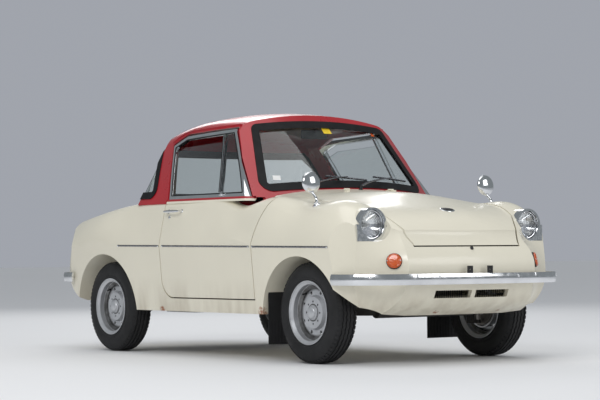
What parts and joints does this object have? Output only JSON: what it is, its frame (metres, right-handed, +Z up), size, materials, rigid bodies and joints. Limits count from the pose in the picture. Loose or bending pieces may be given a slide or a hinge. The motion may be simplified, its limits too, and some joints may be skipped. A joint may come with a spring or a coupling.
{
  "type": "small two-door rear-engined car",
  "caption": "Small rounded two-door car with opening doors, bonnet and engine lid, steered front wheels, round lamps and a wrap-round rear window.",
  "frame": {"origin": "on the ground, midway between the bumper faces, on the centre line", "axes": "+X forward, +Y to the car's left, +Z up"},
  "size_m": [2.9798, 1.2916, 1.2401],
  "materials": {
    "cream_paint": "gloss",
    "crimson_paint": "gloss",
    "black_paint": "satin",
    "silver_paint": "satin",
    "chrome": "polished",
    "steel": "satin",
    "alloy": "matte",
    "window_glass": "polished",
    "lamp_glass": "polished",
    "amber_lens": "gloss",
    "red_lens": "gloss",
    "seal_rubber": "matte",
    "tyre_rubber": "matte",
    "seat_cloth": "satin",
    "dash_plastic": "satin"
  },
  "bodies": {
    "root": {"front_body": "cream_paint", "rear_body": "cream_paint", "roof": "crimson_paint", "floor_pan": "cream_paint", "bulkheads": "cream_paint", "windscreen": "window_glass", "windscreen_rubber": "seal_rubber", "rear_screen": "window_glass", "rear_screen_rubber": "seal_rubber", "headlamp_bezels": "chrome", "headlamp_lenses": "lamp_glass", "front_indicators": "amber_lens", "tail_lamps": "red_lens", "front_bumper": "chrome", "rear_bumper": "chrome", "plate_brackets": "black_paint", "fender_mirrors": "chrome", "wipers": "silver_paint", "mud_flaps": "seal_rubber", "dashboard": "dash_plastic", "steering": "dash_plastic", "front_seats": "seat_cloth", "rear_seat": "seat_cloth", "engine": "alloy", "front_suspension": "black_paint", "rear_suspension": "black_paint"},
    "bonnet": {"bonnet": "cream_paint"},
    "engine_lid": {"engine_lid": "cream_paint"},
    "door_left": {"door_left": "cream_paint", "door_frame_left": "chrome", "door_glass_left": "window_glass", "door_handle_left": "chrome"},
    "door_right": {"door_right": "cream_paint", "door_frame_right": "chrome", "door_glass_right": "window_glass", "door_handle_right": "chrome"},
    "knuckle_left": {"knuckle_left": "steel"},
    "knuckle_right": {"knuckle_right": "steel"},
    "wheel_front_left": {"wheel_front_left": "silver_paint", "tyre_front_left": "tyre_rubber"},
    "wheel_front_right": {"wheel_front_right": "silver_paint", "tyre_front_right": "tyre_rubber"},
    "wheel_rear_left": {"wheel_rear_left": "silver_paint", "tyre_rear_left": "tyre_rubber"},
    "wheel_rear_right": {"wheel_rear_right": "silver_paint", "tyre_rear_right": "tyre_rubber"}
  },
  "joints": [
    {"name": "bonnet_hinge", "type": "hinge", "parent": "root", "child": "bonnet", "pos_m": [0.65, 0, 0.826], "axis": [0, -1, 0], "range_deg": [0, 50]},
    {"name": "engine_lid_hinge", "type": "hinge", "parent": "root", "child": "engine_lid", "pos_m": [-0.897, 0, 0.787], "axis": [0, 1, 0], "range_deg": [0, 45]},
    {"name": "door_left_hinge", "type": "hinge", "parent": "root", "child": "door_left", "pos_m": [0.647, 0.646, 0.5], "axis": [0, 0, -1], "range_deg": [0, 60]},
    {"name": "door_right_hinge", "type": "hinge", "parent": "root", "child": "door_right", "pos_m": [0.647, -0.646, 0.5], "axis": [0, 0, 1], "range_deg": [0, 60]},
    {"name": "steer_left", "type": "hinge", "parent": "root", "child": "knuckle_left", "pos_m": [0.93, 0.452, 0.238], "axis": [0, 0, 1], "range_deg": [-28, 28]},
    {"name": "steer_right", "type": "hinge", "parent": "root", "child": "knuckle_right", "pos_m": [0.93, -0.452, 0.238], "axis": [0, 0, 1], "range_deg": [-28, 28]},
    {"name": "spin_front_left", "type": "hinge", "parent": "knuckle_left", "child": "wheel_front_left", "pos_m": [0.93, 0.52, 0.238], "axis": [0, 1, 0], "continuous": true},
    {"name": "spin_front_right", "type": "hinge", "parent": "knuckle_right", "child": "wheel_front_right", "pos_m": [0.93, -0.52, 0.238], "axis": [0, 1, 0], "continuous": true},
    {"name": "spin_rear_left", "type": "hinge", "parent": "root", "child": "wheel_rear_left", "pos_m": [-0.83, 0.55, 0.238], "axis": [0, 1, 0], "continuous": true},
    {"name": "spin_rear_right", "type": "hinge", "parent": "root", "child": "wheel_rear_right", "pos_m": [-0.83, -0.55, 0.238], "axis": [0, 1, 0], "continuous": true}
  ],
  "couplings": [
    {"joint": "steer_right", "follows": "steer_left", "ratio": 1}
  ]
}
